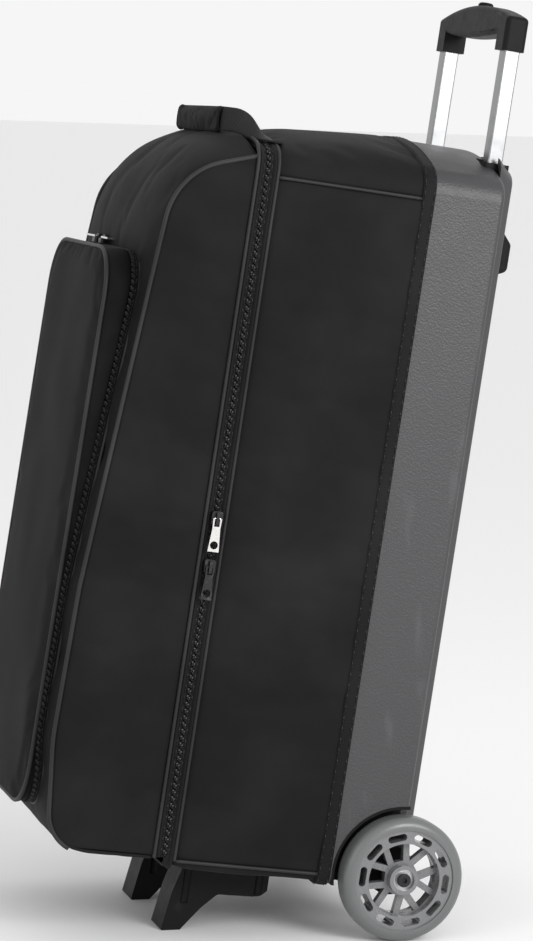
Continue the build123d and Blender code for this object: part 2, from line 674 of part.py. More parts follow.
# %% Carry strap: webbing, sleeve, and the tabs sewn into the top
strap_foot = side_height + zip_crown - 4
anchor_low = strap_foot - strap_width / 2
sleeve_y = -zip_start - strap_reach
with BuildPart() as carry_strap:
    with BuildSketch(Plane.XY.offset(anchor_low + strap_rise)) as strap_line:
        with BuildLine() as strap_path:
            Polyline((-strap_span / 2, -zip_start), (-sleeve_length / 2 - 6, sleeve_y),
                     (sleeve_length / 2 + 6, sleeve_y), (strap_span / 2, -zip_start))
        trace(line_width=strap_thickness)
    extrude(amount=strap_width)
    rounded = sleeve_length / 2
    block((-rounded, sleeve_y - sleeve_thickness / 2, anchor_low + strap_rise - 1),
          (rounded, sleeve_y + sleeve_thickness / 2, anchor_low + strap_rise + strap_width + 1), mode=Mode.SUBTRACT)
pieces["carry_strap"] = carry_strap
with BuildPart() as strap_sleeve:
    with BuildSketch(Plane.YZ.offset(-sleeve_length / 2)) as sleeve_section:
        with Locations((sleeve_y, anchor_low + strap_rise + strap_width / 2)):
            RectangleRounded(sleeve_thickness, strap_width + 2, sleeve_thickness / 2 - 0.5)
    extrude(amount=sleeve_length)
pieces["strap_sleeve"] = strap_sleeve


# %% Zip sliders and their pulls
def slider_on(plane):
    """A slider on a zip: the plane's X runs along the zip and its Z stands off the fabric."""
    with BuildSketch(plane) as base:
        RectangleRounded(slider_length, slider_width, 2.5)
    extrude(base.sketch, amount=slider_height)
    with BuildSketch(plane.offset(slider_height)) as posts:
        with Locations((-bail_half_length + 0.7, 0), (bail_half_length - 0.7, 0)):
            Rectangle(1.4, 3)
    extrude(posts.sketch, amount=bail_gap)
    with BuildSketch(plane.offset(slider_height + bail_gap)) as bail:
        Rectangle(2 * bail_half_length, 3)
    extrude(bail.sketch, amount=bail_thickness)


def pull_on(plane):
    """A pull that hangs along the plane's X from a round bar under the slider's bail."""
    axis_height = slider_height + bail_gap / 2
    with BuildSketch(plane.offset(axis_height - pull_bar_radius)) as tab:
        with BuildLine():
            Polyline((0, -pull_narrow / 2 - 0.5), (10, -pull_narrow / 2), (pull_length, -pull_wide / 2),
                     (pull_length, pull_wide / 2), (10, pull_narrow / 2), (0, pull_narrow / 2 + 0.5), close=True)
        make_face()
        with Locations((3.5, 0)):
            Rectangle(9, 5.4, mode=Mode.SUBTRACT)
        with Locations((pull_length - 6.5, 0)):
            Circle(pull_hole_radius, mode=Mode.SUBTRACT)
    extrude(tab.sketch, amount=2 * pull_bar_radius)
    bar_plane = Plane(plane.from_local_coords((0, -3.2, axis_height)), x_dir=plane.x_dir, z_dir=plane.y_dir)
    with BuildSketch(bar_plane) as bar:
        Circle(pull_bar_radius)
    extrude(bar.sketch, amount=6.4)


zip_middle = -(zip_start + zip_width / 2)
for name, height in main_slider_heights.items():
    main_plane = Plane((half_width + face_gap, zip_middle, height), x_dir=(0, 0, -1), z_dir=(1, 0, 0))
    with BuildPart() as main_slider:
        slider_on(main_plane)
    pieces[f"main_slider_{name}"] = main_slider
    with BuildPart() as main_pull:
        pull_on(main_plane)
    pieces[f"main_pull_{name}"] = main_pull
pocket_zip_forward = zip_end + lid_depth_high + pull_wide / 2 + 2
for name, across in pocket_slider_places.items():
    along = 1 if name == "right" else -1
    pocket_plane = Plane((across, -pocket_zip_forward, pocket_top + part_gap * 2), x_dir=(along, 0, 0),
                         z_dir=(0, 0, 1))
    with BuildPart() as pocket_slider:
        slider_on(pocket_plane)
    pieces[f"pocket_slider_{name}"] = pocket_slider
    with BuildPart() as pocket_pull:
        pull_on(pocket_plane)
    pieces[f"pocket_pull_{name}"] = pocket_pull

# %% Lean the bag back, stand it on the floor, and write every piece
leaned = Location((0, 0, 0), (-lean_angle, 0, 0))
everything = Compound(children=[Compound(piece.part.moved(leaned).wrapped) for piece in pieces.values()])
box = everything.bounding_box()
stand = Location((-(box.min.X + box.max.X) / 2, -(box.min.Y + box.max.Y) / 2, -box.min.Z)) * leaned
os.makedirs("parts", exist_ok=True)
for name, piece in pieces.items():
    piece.part.label = name
    export_step(piece.part.moved(stand), f"parts/{name}.step")
print("pieces", len(pieces), "size", box.size, "stand", stand.position, stand.orientation)
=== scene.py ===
# %% [markdown]
# # A rolling bag for three bowling balls
# A moulded shell carries the trolley tubes and the wheels. Sewn padded walls join it to a zipped
# front section with a shoe pocket. The hard pieces come ready made as a fixed frame. This lesson
# gives them their finishes and makes every soft piece as its own object, then moves each one with
# the body that it belongs to.

# %% The frame
import json
from math import cos, pi, radians, sin, tan

import bmesh
import bpy
from mathutils import Matrix, Vector, noise


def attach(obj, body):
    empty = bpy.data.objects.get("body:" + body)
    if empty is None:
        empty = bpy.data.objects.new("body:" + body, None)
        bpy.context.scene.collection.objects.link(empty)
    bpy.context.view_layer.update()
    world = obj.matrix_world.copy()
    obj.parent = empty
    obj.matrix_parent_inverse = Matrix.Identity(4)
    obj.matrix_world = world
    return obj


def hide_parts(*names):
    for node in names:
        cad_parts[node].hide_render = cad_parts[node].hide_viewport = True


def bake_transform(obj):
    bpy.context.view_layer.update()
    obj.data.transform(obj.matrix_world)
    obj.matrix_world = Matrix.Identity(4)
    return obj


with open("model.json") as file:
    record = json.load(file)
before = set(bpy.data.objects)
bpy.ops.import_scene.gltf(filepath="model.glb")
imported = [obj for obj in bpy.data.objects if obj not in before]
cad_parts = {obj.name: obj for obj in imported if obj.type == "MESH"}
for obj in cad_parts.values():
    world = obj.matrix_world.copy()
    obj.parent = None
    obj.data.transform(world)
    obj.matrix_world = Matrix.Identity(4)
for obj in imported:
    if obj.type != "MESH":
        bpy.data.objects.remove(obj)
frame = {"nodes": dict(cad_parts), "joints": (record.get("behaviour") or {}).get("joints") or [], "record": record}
nodes = frame["nodes"]
joints = {joint["name"]: joint for joint in frame["joints"]}
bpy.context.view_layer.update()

# %% [markdown]
# The bag leans back on its kick feet, but sewn pieces are far easier to think about upright: X
# across, Z up, and "forward" measured from the shell's back. So each new piece is modelled
# upright, in metres, and one matrix leans it at the end. The handle's slide gives the lean, and
# the axle gives the place.

# %% The lean, from the handle's slide and the axle
rise = Vector(joints["handle_slide"]["axis"])
axle = Vector(joints["wheel_right_spin"]["pos_m"])
upright_axle = Vector((axle.x, -0.001, 0.015))
turn = Vector((0, 0, 1)).rotation_difference(rise).to_matrix().to_4x4()
lean = Matrix.Translation(axle) @ turn @ Matrix.Translation(-upright_axle)
print("lean matrix", [round(x, 4) for row in lean for x in row])

# %% [markdown]
# The camera stands to the bag's right and a little to its front, low, with a long lens. Its angles
# are easiest to give in the upright bag's own directions too.

# %% The camera
azimuth, elevation, roll, distance = radians(73.21), radians(4.364), radians(8.664), 3.3689
back = Vector((sin(azimuth) * cos(elevation), -cos(azimuth) * cos(elevation), sin(elevation)))
aim = back.to_track_quat("Z", "Y").to_matrix().to_4x4() @ Matrix.Rotation(roll, 4, "Z")
camera = bpy.data.objects.new("camera", bpy.data.cameras.new("camera"))
camera.data.lens = 124.85
camera.matrix_world = lean @ Matrix.Translation(Vector((0, -0.1588, 0.3946)) + back * distance) @ aim
bpy.context.scene.collection.objects.link(camera)
bpy.context.scene.camera = camera
print("camera at", [round(x, 3) for x in camera.matrix_world.translation])

# %% [markdown]
# The studio is a wide pale floor under an even pale sky, with one large soft lamp beyond the
# camera's right shoulder, whose gloss lies on the bag's side, and a weaker one on the left.

# %% The studio
scene = bpy.context.scene
scene.view_settings.view_transform = "Standard"
scene.world = bpy.data.worlds.new("studio")
scene.world.use_nodes = True
sky = scene.world.node_tree.nodes["Background"]
sky.inputs["Color"].default_value = (1.0, 1.0, 1.0, 1.0)
sky.inputs["Strength"].default_value = 0.92


def lamp(name, place, size, power):
    """A square area lamp that looks at the bag's middle."""
    light = bpy.data.lights.new(name, "AREA")
    light.size, light.energy = size, power
    holder = bpy.data.objects.new(name, light)
    look = (Vector(place) - Vector((0, 0, 0.45))).to_track_quat("Z", "Y").to_matrix().to_4x4()
    holder.matrix_world = Matrix.Translation(place) @ look
    scene.collection.objects.link(holder)


lamp("key_lamp", (2.5, 1.15, 1.5), 1.2, 55)
lamp("fill_lamp", (1.6, -2.6, 1.2), 1.2, 10)
floor_shape = bmesh.new()
bmesh.ops.create_grid(floor_shape, x_segments=8, y_segments=8, size=120.0)
floor_mesh = bpy.data.meshes.new("studio_floor")
floor_shape.to_mesh(floor_mesh)
floor_shape.free()
floor = bpy.data.objects.new("studio_floor", floor_mesh)
scene.collection.objects.link(floor)
print("studio floor and two lamps")

# %% [markdown]
# ## Finishes
# Every finish is a small network of nodes. To write its sums as ordinary Python, one class wraps a
# node's output and overloads the operators: each adds a Math node. A second class holds a material
# and adds any other node from its type, its settings and its inputs.

# %% Sums on sockets, and a material that takes them


class Value:
    """An output of a node that can be used in sums."""

    def __init__(self, paint, socket):
        self.paint, self.socket = paint, socket

    def sum(self, operation, first, second):
        return self.paint.node("Math", {"operation": operation}, {0: first, 1: second})

    def __add__(self, other):
        return self.sum("ADD", self, other)

    def __sub__(self, other):
        return self.sum("SUBTRACT", self, other)

    def __mul__(self, other):
        return self.sum("MULTIPLY", self, other)


class Paint:
    """A material: its shader's own constants, and the nodes that vary it."""

    def __init__(self, name, colour, roughness, **constants):
        self.material = bpy.data.materials.new(name)
        self.material.use_nodes = True
        self.tree = self.material.node_tree
        self.shader = self.tree.nodes["Principled BSDF"]
        self.colour = (*colour, 1.0)
        self.put(self.shader.inputs["Base Color"], self.colour)
        self.put(self.shader.inputs["Roughness"], roughness)
        for socket, value in constants.items():
            self.put(self.shader.inputs[socket.replace("_", " ")], value)

    def put(self, socket, value):
        if isinstance(value, Value):
            self.tree.links.new(value.socket, socket)
        else:
            socket.default_value = value

    def node(self, kind, settings=None, inputs=None, output=0):
        node = self.tree.nodes.new("ShaderNode" + kind)
        for setting, value in (settings or {}).items():
            if setting == "stops":
                for stop, (position, shade) in zip(node.color_ramp.elements, value):
                    stop.position, stop.color = position, (shade, shade, shade, 1.0)
            else:
                setattr(node, setting, value)
        for socket, value in (inputs or {}).items():
            self.put(node.inputs[socket], value)
        return Value(self, node.outputs[output])

    def where(self, kind="Object"):
        return self.node("TexCoord", output=kind)

    def noise(self, scale, detail=3.0, stretch=(1, 1, 1)):
        place = self.where()
        if stretch != (1, 1, 1):
            place = self.node("VectorMath", {"operation": "MULTIPLY"}, {0: place, 1: stretch})
        inputs = {"Vector": place, "Scale": scale, "Detail": detail}
        return self.node("TexNoise", {"noise_dimensions": "3D"}, inputs)

    def ramp(self, value, low, high):
        """0 under low and 1 over high."""
        return self.node("ValToRGB", {"stops": ((low, 0.0), (high, 1.0))}, {"Fac": value})

    def tint(self, share, other):
        """Mixes the colour so far towards another by share."""
        inputs = {0: share, 6: self.colour, 7: (*other, 1.0)}
        self.colour = self.node("Mix", {"data_type": "RGBA"}, inputs, output=2)
        self.put(self.shader.inputs["Base Color"], self.colour)
        return self

    def rough(self, value):
        self.put(self.shader.inputs["Roughness"], value)
        return self

    def bump(self, height, distance):
        inputs = {"Height": height, "Distance": distance, "Strength": 1.0}
        self.put(self.shader.inputs["Normal"], self.node("Bump", {}, inputs))
        return self


print("finish classes ready")

# %% [markdown]
# **Woven nylon.** The walls are a fine plain weave: threads cross over and under, so the height is
# the product of two waves. The pattern follows the cloth, so it reads the piece's own UV map, which
# is laid out in metres. Slow noise makes the cloth a little lighter where it has been rubbed.

# %% Woven finishes


def woven(name, colour, rubbed, thread, roughness=0.62, rib=1.0, height=0.00018, **constants):
    """Cloth with threads of one width; rib under 1 makes ribs that run along the piece."""
    paint = Paint(name, colour, roughness, **constants)
    chart = paint.where("UV")
    parts = paint.tree.nodes.new("ShaderNodeSeparateXYZ")
    paint.put(parts.inputs[0], chart)
    across = Value(paint, parts.outputs[0]) * (pi / thread)
    along = Value(paint, parts.outputs[1]) * (pi / thread * rib)
    over = paint.node("Math", {"operation": "SINE"}, {0: across})
    under = paint.node("Math", {"operation": "SINE"}, {0: along})
    weave = over * under * 0.5 + 0.5
    worn = paint.noise(7.0, 5.0)
    fuzz = paint.noise(1400.0, 2.0)
    paint.tint(paint.ramp(worn, 0.42, 0.72) * 0.8 + weave * 0.2, rubbed)
    paint.rough(fuzz * 0.22 + (roughness - 0.1))
    return paint.bump(weave * 0.7 + fuzz * 0.6, height)


nylon = woven("nylon_weave", (0.0080, 0.0081, 0.0083), (0.0170, 0.0170, 0.0172), 0.0007,
              Specular_IOR_Level=0.06, Sheen_Weight=0.015, Sheen_Roughness=0.4)
pocket_nylon = woven("pocket_nylon", (0.0048, 0.0049, 0.0051), (0.0110, 0.0110, 0.0115), 0.0007,
                     Specular_IOR_Level=0.05, Sheen_Weight=0.01, Sheen_Roughness=0.4)
tape = woven("ribbed_tape", (0.0045, 0.0045, 0.0047), (0.012, 0.012, 0.0124), 0.0011, rib=0.35,
             height=0.0004, Specular_IOR_Level=0.12, Sheen_Weight=0.02)
piping_cloth = woven("piping_cloth", (0.010, 0.010, 0.0103), (0.030, 0.030, 0.0305), 0.0009,
                     roughness=0.5, Specular_IOR_Level=0.25, Sheen_Weight=0.02)
webbing = woven("strap_mesh", (0.0035, 0.0035, 0.0037), (0.026, 0.026, 0.0265), 0.0019,
                height=0.0007, Specular_IOR_Level=0.12, Sheen_Weight=0.02)
sleeve_cloth = woven("sleeve_neoprene", (0.0028, 0.0028, 0.003), (0.006, 0.006, 0.0062), 0.0005,
                     roughness=0.7, Specular_IOR_Level=0.1, Sheen_Weight=0.02)
print("woven finishes", nylon.material.name, tape.material.name, webbing.material.name)

# %% [markdown]
# **Thread, coil and covered foam.** Stitches are pale enough to catch the light. The zip's coil is
# shiny nylon. The ball trays are foam under brushed cloth; that piece has no UV map, so its nap
# reads the object's own coordinates.

# %% Thread, coil and foam finishes
thread = Paint("thread", (0.055, 0.055, 0.057), 0.55)
thread.tint(thread.noise(300.0), (0.02, 0.02, 0.02)).bump(thread.noise(2500.0), 0.0002)
coil = Paint("zip_coil", (0.016, 0.016, 0.017), 0.35, Specular_IOR_Level=0.6)
coil.tint(coil.noise(250.0), (0.05, 0.05, 0.052)).bump(coil.noise(900.0), 0.0001)
foam_cover = Paint("foam_cover", (0.016, 0.016, 0.0175), 0.9, Specular_IOR_Level=0.1,
                   Sheen_Weight=0.1, Sheen_Roughness=0.5)
foam_cover.tint(foam_cover.noise(18.0, 4.0), (0.03, 0.03, 0.032))
foam_cover.bump(foam_cover.noise(900.0, 2.0), 0.0006)
print("thread, coil and foam")

# %% [markdown]
# **Moulded plastics.** The shell has a fine leathery grain, which is a cell pattern with soft
# edges, and pale scuffs where it has knocked against things. Handle, feet and carriers are a
# smoother satin black. Wheels are a smoky urethane round a silver-grey hub.

# %% Plastic finishes
shell_paint = Paint("grained_shell", (0.030, 0.030, 0.032), 0.5, Specular_IOR_Level=0.5)
cells = shell_paint.node("TexVoronoi", {"feature": "SMOOTH_F1"},
                         {"Vector": shell_paint.where(), "Scale": 520.0, "Smoothness": 0.6})
scuffs = shell_paint.ramp(shell_paint.noise(24.0, 9.0, stretch=(1.0, 1.0, 0.25)), 0.62, 0.74)
shell_paint.tint(shell_paint.noise(5.0, 3.0) * 0.5, (0.045, 0.045, 0.047))
shell_paint.tint(scuffs * 0.35, (0.12, 0.12, 0.125))
shell_paint.rough(shell_paint.noise(40.0, 5.0) * 0.16 + scuffs * 0.1 + 0.36)
shell_paint.bump(cells + shell_paint.noise(1800.0) * 0.3, 0.00025)

black_plastic = Paint("satin_black", (0.0075, 0.0075, 0.008), 0.45, Specular_IOR_Level=0.1)
rubs = black_plastic.ramp(black_plastic.noise(60.0, 8.0), 0.6, 0.75)
black_plastic.tint(rubs * 0.5, (0.022, 0.022, 0.023)).rough(black_plastic.noise(90.0, 4.0) * 0.2 + 0.36)
black_plastic.bump(black_plastic.noise(1500.0, 3.0), 0.00012)

tyre_paint = Paint("smoky_urethane", (0.115, 0.12, 0.12), 0.34, Coat_Weight=0.15, Coat_Roughness=0.2)
grime = tyre_paint.ramp(tyre_paint.noise(35.0, 6.0), 0.5, 0.8)
tyre_paint.tint(grime * 0.5, (0.10, 0.10, 0.10)).rough(tyre_paint.noise(60.0, 4.0) * 0.2 + 0.26)
tyre_paint.bump(tyre_paint.noise(700.0, 2.0), 0.0001)

hub_paint = Paint("silver_hub", (0.17, 0.173, 0.176), 0.28, Metallic=0.15, Coat_Weight=0.3)
hub_paint.tint(hub_paint.noise(160.0, 4.0) * 0.6, (0.12, 0.122, 0.124))
hub_paint.rough(hub_paint.noise(90.0, 4.0) * 0.15 + 0.2).bump(hub_paint.noise(1200.0), 0.00008)

board_paint = Paint("lined_board", (0.014, 0.014, 0.015), 0.8, Specular_IOR_Level=0.15, Sheen_Weight=0.05)
board_paint.tint(board_paint.noise(30.0, 5.0), (0.03, 0.03, 0.031))
board_paint.bump(board_paint.noise(1100.0, 4.0), 0.0004)
print("plastic finishes")

# %% [markdown]
# **Metals.** The tubes are bright brushed aluminium: noise stretched along their length gives the
# drawn lines. Nuts and bearings are zinc, sliders are blackened, and some pulls are nickel.

# %% Metal finishes


def metal(name, colour, roughness, stretch=(1, 1, 1), scale=400.0):
    paint = Paint(name, colour, roughness, Metallic=1.0)
    grain = paint.noise(scale, 3.0, stretch=stretch)
    marks = paint.ramp(paint.noise(45.0, 7.0), 0.58, 0.75)
    paint.tint(grain * 0.3 + marks * 0.3, tuple(part * 0.72 for part in colour))
    return paint.rough(grain * 0.12 + marks * 0.1 + roughness - 0.06).bump(grain, 0.00005)


tube_bright = metal("brushed_aluminium", (0.27, 0.273, 0.277), 0.3, stretch=(1, 1, 0.02), scale=1500.0)
tube_plain = metal("drawn_tube", (0.45, 0.45, 0.47), 0.4, stretch=(1, 1, 0.02), scale=1500.0)
zinc = metal("zinc_plate", (0.50, 0.50, 0.51), 0.35)
nickel = metal("nickel_pull", (0.72, 0.71, 0.69), 0.22)
black_metal = Paint("black_metal", (0.016, 0.016, 0.017), 0.38, Metallic=0.5)
black_metal.tint(black_metal.ramp(black_metal.noise(120.0, 6.0), 0.55, 0.75) * 0.7, (0.12, 0.12, 0.12))
black_metal.bump(black_metal.noise(900.0), 0.00005)
floor_paint = Paint("floor", (0.88, 0.88, 0.88), 0.7)
floor_paint.tint(floor_paint.noise(2.0) * 0.15, (0.84, 0.84, 0.845)).bump(floor_paint.noise(90.0), 0.0003)
floor.data.materials.append(floor_paint.material)
by_slot = {"shell": shell_paint, "board": board_paint, "tube_inner": tube_bright,
           "tube_outer": tube_plain, "black_plastic": black_plastic, "tyre": tyre_paint,
           "hub": hub_paint, "steel": zinc, "black_steel": black_metal, "bright_pull": nickel}
for part in frame["record"]["subparts"]:
    if part["material_slot"] in by_slot:
        mesh = nodes[part["node"]].data
        mesh.materials.clear()
        mesh.materials.append(by_slot[part["material_slot"]].material)
print("finishes on the ready-made pieces")

# %% [markdown]
# ## Lines and cut cloth
# Sewn pieces follow a few flat lines: the bag seen from the front, the front section seen from the
# side, the pocket's outline. A line is given by its corners and their radii, and turned into evenly
# spaced places, so that cloth can be laid along it by distance.

# %% A flat line with rounded corners


class Line:
    """A line through rounded corners. at(s) and out(s) give a place and the way off it, s 0 to 1."""

    def __init__(self, corners, closed=False, count=1200):
        path = []
        for index, (point, radius) in enumerate(corners):
            corner = Vector(point)
            if not radius:
                path.append(corner)
                continue
            before = (Vector(corners[index - 1][0]) - corner).normalized()
            after = (Vector(corners[(index + 1) % len(corners)][0]) - corner).normalized()
            half = before.angle(after) / 2
            centre = corner + (before + after).normalized() * radius / sin(half)
            first = corner + before * radius / tan(half) - centre
            last = corner + after * radius / tan(half) - centre
            path += [centre + first.slerp(last, step / 12) * first.length for step in range(13)]
        if closed:
            path.append(path[0])
        runs = [(b - a).length for a, b in zip(path, path[1:])]
        self.length, self.closed, self.count, self.points = sum(runs), closed, count, []
        walked, index = 0.0, 0
        for step in range(count + 1):
            wanted = self.length * step / count
            while index < len(runs) - 1 and walked + runs[index] < wanted:
                walked += runs[index]
                index += 1
            share = (wanted - walked) / max(runs[index], 1e-9)
            self.points.append(path[index].lerp(path[index + 1], min(share, 1.0)))

    def at(self, s):
        place = (s % 1.0 if self.closed else min(max(s, 0.0), 1.0)) * self.count
        index = min(int(place), self.count - 1)
        return self.points[index].lerp(self.points[index + 1], place - index)

    def out(self, s):
        way = (self.at(s + 2.5 / self.count) - self.at(s - 2.5 / self.count)).normalized()
        return Vector((way.y, -way.x))


def ease(value, low=0.0, high=1.0):
    """0 at low and 1 at high, with soft ends."""
    share = min(max((value - low) / (high - low), 0.0), 1.0)
    return share * share * (3 - 2 * share)


print("lines ready")

# %% [markdown]
# The bag's front view is straight sides and bottom under a crowned top. The crown is taller at the
# shell than at the zip, so a place on the walls is a mix of two such lines.

# %% The walls' surface
half_width, side_height = 0.150, 0.718
shell_front, zip_back, zip_front = 0.076, 0.238, 0.258
crown_at_shell, crown_at_zip = 0.034, 0.018
wall_start, wall_deep = 0.079, 0.1595


def bag_ring(crown):
    """The bag from the front, starting from the middle of its bottom and going right."""
    corners = [((0, 0), 0), ((half_width, 0), 0.010), ((half_width, side_height), 0.026)]
    for step in range(23):
        across = 0.88 - 0.08 * step
        corners.append(((half_width * across, side_height + crown * (1 - across * across)), 0))
    corners += [((-half_width, side_height), 0.026), ((-half_width, 0), 0.010)]
    return Line(corners, closed=True)


ring_shell, ring_zip = bag_ring(crown_at_shell), bag_ring(crown_at_zip)


def skin(s, forward, lift=0.0):
    """A place on the walls: s round the bag, forward of the shell's back, lifted off the cloth."""
    share = min(max((forward - shell_front) / (zip_back - shell_front), 0.0), 1.0)
    place = ring_shell.at(s).lerp(ring_zip.at(s), share) + ring_shell.out(s) * lift
    return Vector((place.x, -forward, place.y))


def level(height):
    """How far round the ring the right side reaches a height."""
    return next(step / 4800 for step in range(2400) if ring_zip.at(step / 4800).y >= height)


low_seam, top_seam = level(0.010), level(0.692)
print("ring", round(ring_zip.length, 3), "m round, seams at", low_seam, top_seam)

# %% [markdown]
# Each piece of cloth starts as a flat grid, which is the cut cloth: its UV map is its flat size in
# metres. A function then says where each place of the cloth goes on the bag.

# %% Bending a flat grid, and keeping a finished piece


def cut_cloth(across, along, place, flat):
    """A grid bent by place(u, v), with its flat size as its UV map. Edges that meet are joined."""
    shape = bmesh.new()
    chart = shape.loops.layers.uv.new("UVMap")
    bmesh.ops.create_grid(shape, x_segments=across, y_segments=along, size=0.5)
    for face in shape.faces:
        for loop in face.loops:
            spot = loop.vert.co
            loop[chart].uv = ((spot.x + 0.5) * flat[0], (spot.y + 0.5) * flat[1])
    for vert in shape.verts:
        vert.co = place(vert.co.x + 0.5, vert.co.y + 0.5)
    bmesh.ops.remove_doubles(shape, verts=shape.verts, dist=2e-5)
    return shape


def keep(shape, name, body, paint, replaced=(), matrix=lean):
    """Leans a finished shape and makes it a piece. It rides on its body, if one is given."""
    bmesh.ops.transform(shape, matrix=matrix, verts=shape.verts)
    mesh = bpy.data.meshes.new(name)
    shape.to_mesh(mesh)
    shape.free()
    mesh.shade_smooth()
    piece = bpy.data.objects.new(name, mesh)
    scene.collection.objects.link(piece)
    mesh.materials.append(paint.material)
    if body:
        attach(piece, body)
    if replaced:
        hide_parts(*replaced)
    return piece


def thicken(piece, depth):
    """Gives cloth its thickness, inwards."""
    wall = piece.modifiers.new("thickness", "SOLIDIFY")
    wall.thickness, wall.offset = depth, -1.0
    return piece


print("cloth helpers ready")

# %% [markdown]
# Padded cloth is simulated. Its seams are pinned where they are sewn, a little pressure pushes it
# outwards, and a little spare cloth lets it pucker between the seams. All the sheets run together
# in one pass of 20 frames. Then no place may end further than a cap from where it was sewn, and
# the result is kept as plain mesh.

# %% Sewing sheets for the simulation
sewn = []


def sew(shape, name, body, slot, paint, depth, pressure, spare, cap, replaced=(), extra_pins=None):
    """Puts cloth in the list to be filled: its edges are pinned, and extra_pins(vert) adds more."""
    shape.verts.index_update()
    pins = [v.index for v in shape.verts if v.is_boundary or (extra_pins and extra_pins(v))]
    shape.normal_update()
    for vert in shape.verts:
        if not vert.is_boundary:
            vert.co += vert.normal * noise.noise(vert.co * 14.0) * 0.0022
    mesh = bpy.data.meshes.new(name)
    shape.to_mesh(mesh)
    shape.free()
    piece = bpy.data.objects.new(name, mesh)
    scene.collection.objects.link(piece)
    piece.vertex_groups.new(name="seams").add(pins, 1.0, "REPLACE")
    cloth = piece.modifiers.new("cloth", "CLOTH")
    cloth.settings.quality = 5
    cloth.settings.mass = 0.3
    cloth.settings.bending_stiffness = 0.4
    cloth.settings.vertex_group_mass = "seams"
    cloth.settings.shrink_min = -spare
    cloth.settings.use_pressure = True
    cloth.settings.uniform_pressure_force = pressure
    cloth.settings.effector_weights.gravity = 0.0
    cloth.point_cache.frame_end = 20
    sewn.append((piece, body, slot, paint, depth, cap, replaced))
    return piece


def fill_all():
    """Runs the simulation once for every sheet, then makes each one a finished piece."""
    before = {piece.name: [v.co.copy() for v in piece.data.vertices] for piece, *_ in sewn}
    frames = range(1, 21)
    for number in frames:
        scene.frame_set(number)
    graph = bpy.context.evaluated_depsgraph_get()
    moved = {}
    for piece, *_ in sewn:
        mesh = piece.evaluated_get(graph).data
        moved[piece.name] = [v.co.copy() for v in mesh.vertices]
    for piece, body, slot, paint, depth, cap, replaced in sewn:
        furthest = 0.0
        for vert, old, new in zip(piece.data.vertices, before[piece.name], moved[piece.name]):
            move = new - old
            furthest = max(furthest, move.length)
            vert.co = old + move * min(1.0, cap / max(move.length, 1e-9))
        piece.modifiers.clear()
        piece.vertex_groups.clear()
        piece.data.transform(lean)
        piece.data.shade_smooth()
        piece.data.materials.append(paint.material)
        thicken(piece, depth)
        finer = piece.modifiers.new("finer", "SUBSURF")
        finer.levels = finer.render_levels = 1
        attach(piece, body)
        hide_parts(*replaced)
        print("filled", piece.name, "moved up to", round(furthest * 1000, 1), "mm, cap", cap * 1000)
    scene.frame_set(1)


print("sewing helpers ready")

# %% [markdown]
# ## The walls of the ball compartment
# Two side walls, a crowned top and a flat bottom join the shell to the zip. Near the zip they dip
# into a shadow line before the band stands proud.

# %% The four walls


def wall(name, start, end, node, spare=0.006, pressure=2.5):
    def place(u, v):
        dip = 0.0035 * ease(v, 0.9, 1.0)
        return skin(start + (end - start) * u, wall_start + wall_deep * v, -0.0003 - dip)

    length = (end - start) * ring_zip.length
    shape = cut_cloth(max(8, round(length / 0.008)), 22, place, (length, wall_deep))
    sew(shape, name, "case", "nylon", nylon, 0.005, pressure, spare, 0.007, (node,))


wall("side_wall_right", low_seam, top_seam, "side_panel_right")
wall("side_wall_left", 1 - top_seam, 1 - low_seam, "side_panel_left")
wall("top_wall", top_seam, 1 - top_seam, "top_panel")
wall("bottom_wall", -low_seam, low_seam, "bottom_panel", spare=0.0, pressure=0.1)
print("walls cut")

# %% [markdown]
# ## The front section
# Its side view rises from a round toe, leans back up the front, and turns over a round nose to
# the zip. The wrap that goes over it is fuller in the middle than at its piped edges.

# %% The front section's surface
lid_line = Line([((zip_front + 0.0005, 0.010), 0), ((0.367, 0.010), 0.040), ((0.3775, 0.120), 0.2),
                 ((0.3735, 0.270), 0.3), ((0.3480, 0.575), 0.25), ((0.338, 0.684), 0.070),
                 ((zip_front + 0.0005, 0.7095), 0)])
piped_from, piped_share = 0.105, 0.893


def side_edge(height):
    """Half the width of the front section, which narrows where the top corners are round."""
    return 0.124 + max(0.026 ** 2 - max(height - 0.6972, 0.0) ** 2, 0.0) ** 0.5


def fullness(v):
    return 0.002 + 0.004 * ease(v, 0.1, 0.3) + 0.0205 * ease(v, 0.84, 1.0)


def lid_skin(across, v, lift=0.0):
    """across runs from -1 to 1 between the pipings, v up the front from the bottom of the zip."""
    middle, out = lid_line.at(v), lid_line.out(v)
    spot = middle + out * (fullness(v) * (1 - across ** 4) + lift)
    return Vector((across * side_edge(middle.y), -spot.x, spot.y))


def lid_level(height):
    """How far up the front section's line a height is."""
    low, high = 0.12, 0.95
    for _ in range(24):
        middle = (low + high) / 2
        if lid_line.at(middle).y < height:
            low = middle
        else:
            high = middle
    return low


print("front section line", round(lid_line.length, 3), "m")

# %% [markdown]
# The pocket's outline is a rounded rectangle on that front. The wrap has a mouth behind the
# pocket, so that shoes can go in: its faces are taken out before the cloth is filled.

# %% The wrap with its mouth


pocket_low, pocket_high, pocket_tall = 0.042, 0.600, 0.558
pocket_half, pocket_round, mouth_inset = 0.125, 0.048, 0.022


def pocket_outline(inset=0.0):
    x, low, high = pocket_half - inset, pocket_low + inset, pocket_high - inset
    radius = pocket_round - inset
    corners = [((-x, low), radius), ((x, low), radius), ((x, high), radius), ((-x, high), radius)]
    return Line(corners, closed=True)


def within(x, z, line):
    """Whether a place is inside a closed line."""
    inside = False
    for a, b in zip(line.points[::12], line.points[12::12]):
        if (a.y > z) != (b.y > z) and x < a.x + (z - a.y) / (b.y - a.y) * (b.x - a.x):
            inside = not inside
    return inside


